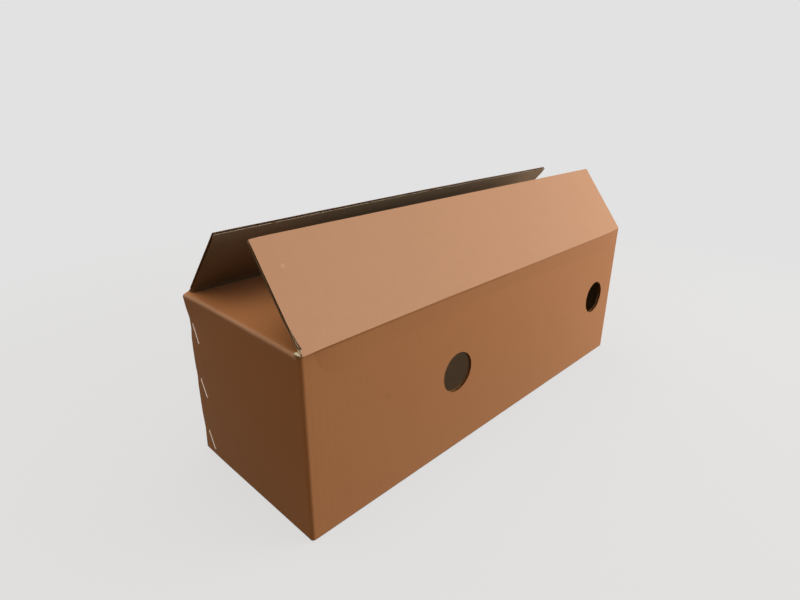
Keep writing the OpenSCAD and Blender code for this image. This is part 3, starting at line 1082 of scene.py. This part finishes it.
# %% [markdown]
# ## Wire stitches
# Three flat wires hold the end panel to the tab behind it. A stitching head drives each one through both
# layers and clinches its ends inside. One bent path makes the wire, and it is instanced on three points.

# %% Tree for the stitches
names = ("Length", "Clinch", "Depth", "Wire width", "Wire thickness", "Slope")
stitching, told = new_tree("wire_stitches", names, mesh_in=True)
half = (told["Length"] - told["Wire thickness"]) * 0.5
less = half - told["Clinch"]
crown = told["Wire thickness"] * -0.5
clinch = told["Depth"] - crown
route = [(clinch, less * -1.0), (clinch, half * -1.0), (crown, half * -1.0)]
route += [(crown, half), (clinch, half), (clinch, less)]
bent = add(stitching, "IndexSwitch", {"Index": add(stitching, "InputIndex")}, data_type="VECTOR")
while len(bent.node.index_switch_items) < len(route):
    bent.node.index_switch_items.new()
for i, (x, y) in enumerate(route):
    add(stitching, "CombineXYZ", {"X": x, "Y": y}).feed(bent.node.inputs[i + 1])
line = add(stitching, "MeshLine", {"Count": len(route)})
line = add(stitching, "SetPosition", {"Geometry": line, "Position": bent})


def rounded(curve, radius, count):
    links = {"Curve": curve, "Radius": radius, "Count": count, "Limit Radius": True}
    return add(stitching, "FilletCurve", links, mode="POLY")


path = rounded(add(stitching, "MeshToCurve", {"Mesh": line}), told["Wire thickness"], 4)
size = {"Width": told["Wire width"], "Height": told["Wire thickness"]}
section = rounded(add(stitching, "CurvePrimitiveQuadrilateral", size, mode="RECTANGLE"), 0.25 * MM, 3)
one = add(stitching, "CurveToMesh", {"Curve": path, "Profile Curve": section, "Fill Caps": True})
tilt = add(stitching, "CombineXYZ", {"X": told["Slope"]})
three = add(stitching, "InstanceOnPoints", {"Points": told["Geometry"], "Instance": one, "Rotation": tilt})
real = add(stitching, "RealizeInstances", {"Geometry": three})
steel = add(stitching, "SetMaterial", {"Geometry": real, "Material": wire})
add(stitching, "NodeGroupOutput", {0: steel})
print("wire_stitches has", len(stitching.nodes), "nodes")

# %% Stitches in place
stitch_places = [(-LENGTH / 2, y * MM, z * MM) for y, z in ((88.5, 154), (86, 88), (84.5, 20.5))]
holes = bpy.data.meshes.new("stitch_places")
holes.from_pydata(stitch_places, [], [])
values = {"Length": 23 * MM, "Clinch": 8 * MM, "Depth": 2 * BOARD + LAYER_GAP}
values |= {"Wire width": 1.5 * MM, "Wire thickness": 0.8 * MM, "Slope": math.radians(60)}
stitches = grow("corner_stitches", stitching, values, holes)
# The wire follows the board that it pulls in.
points = points_of(stitches.data)
points[:, 0] += joint_pull(points)
keep_points(stitches.data, points)
smooth_sheet(stitches.data)
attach(stitches, "carton")
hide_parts("joint_stitches")
print("stitches", len(stitches.data.polygons), "faces")

# %% [markdown]
# ## Camera
# The camera stands at the front left, a little above the open flaps. Its place comes from the corners of the
# carton in the photograph, fitted to the same corners of the solids.

# %% Camera
camera = put("camera", bpy.data.cameras.new("camera"))
camera.data.lens = 24.572
camera.data.sensor_width = 36
camera.location = (-0.5199, -0.4380, 0.4038)
camera.rotation_euler = [math.radians(a) for a in (68.327, -0.232, -45.381)]
scene.camera = camera
print("lens", camera.data.lens)

# %% [markdown]
# ## Floor and light
# The floor is plain and pale. Seen by the camera it glows a little, so that it reads as one even grey, and
# the rest of its colour is lit, which keeps the carton's shadow. For all other rays it is a darker matt
# floor, so that it doesn't throw too much light up the walls.

# %% Floor
BACKGROUND = colour("#E2E2E2")


def seen(tree):
    """1 for the rays that show a surface to the camera, straight or in something shiny or clear."""
    ray = add(tree, "LightPath")
    shown = ray["Is Camera Ray"].math("MAXIMUM", ray["Is Glossy Ray"])
    return shown.math("MAXIMUM", ray["Is Transmission Ray"])


floor_mesh = bpy.data.meshes.new("floor")
shape = bmesh.new()
bmesh.ops.create_circle(shape, cap_ends=True, segments=64, radius=40)
bmesh.ops.translate(shape, verts=shape.verts, vec=(0, 0, -0.2 * MM))
shape.to_mesh(floor_mesh)
shape.free()
floor = put("floor", floor_mesh)
matt = bpy.data.materials.new("matt_grey_floor")
matt.use_nodes = True
tree = matt.node_tree
tree.nodes.remove(tree.nodes["Principled BSDF"])
spot = add(tree, "TexCoord")["Object"]
far = add(tree, "VectorMath", {0: spot}, operation="LENGTH")["Value"]
# Beyond about a metre the floor is all glow, so that no horizon shows.
part = spread(far, 0.45, 1.1, 0.85, 1.0)
lit = add(tree, "BsdfDiffuse", {"Color": colour("#DCDCDC")})
glow = add(tree, "Emission", {"Color": BACKGROUND, "Strength": 1.0})
pale = add(tree, "MixShader", {0: part, 1: lit, 2: glow})
dark = add(tree, "BsdfDiffuse", {"Color": colour("#5E574B")})
mixed = add(tree, "MixShader", {0: seen(tree), 1: dark, 2: pale})
mixed.feed(tree.nodes["Material Output"].inputs["Surface"])
floor_mesh.materials.append(matt)
floor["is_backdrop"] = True
print("floor", floor.name)

# %% Lights
HORIZON, ZENITH = (0.09, 0.086, 0.076, 1), (2.05, 1.97, 1.8, 1)
PLAIN, WARM = (1, 1, 1, 1), (0.93, 0.78, 0.57, 1)
world = bpy.data.worlds.new("studio")
scene.world = world
world.use_nodes = True
tree = world.node_tree
# The carton is lit as by an overcast sky: dim at the horizon and full overhead.
way = add(tree, "SeparateXYZ", {0: add(tree, "TexCoord")["Generated"]})
overhead = spread(way["Z"], 0.0, 1.0).math("POWER", 3.0)
dome = mix(tree, overhead, HORIZON, ZENITH)
# On the left, the shaded side, the room's light is a little warmer.
tint = mix(tree, spread(way["X"], 0.1, -0.45), PLAIN, WARM)
room = mix(tree, 1.0, dome, tint, blend_type="MULTIPLY")
mix(tree, seen(tree), room, BACKGROUND).feed(tree.nodes["Background"].inputs["Color"])
# One large soft box stands low at the right.
lamp = bpy.data.lights.new("key_box", "AREA")
lamp.shape = "RECTANGLE"
lamp.size, lamp.size_y = 1.5, 0.9
lamp.energy = 38
lamp.color = (1.0, 0.985, 0.96)
key_box = put("key_box", lamp)
key_box.location = (1.6, -1.2, 0.5)
aim = Vector((0, 0, 0.15)) - key_box.location
key_box.rotation_euler = aim.to_track_quat("-Z", "Y").to_euler()
scene.view_settings.view_transform = "Standard"

# %% [markdown]
# ## Finish
# The box of the finished pieces is printed.

# %% Sizes and finish
low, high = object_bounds()
print("visual box", [round(v, 4) for v in low], [round(v, 4) for v in high])
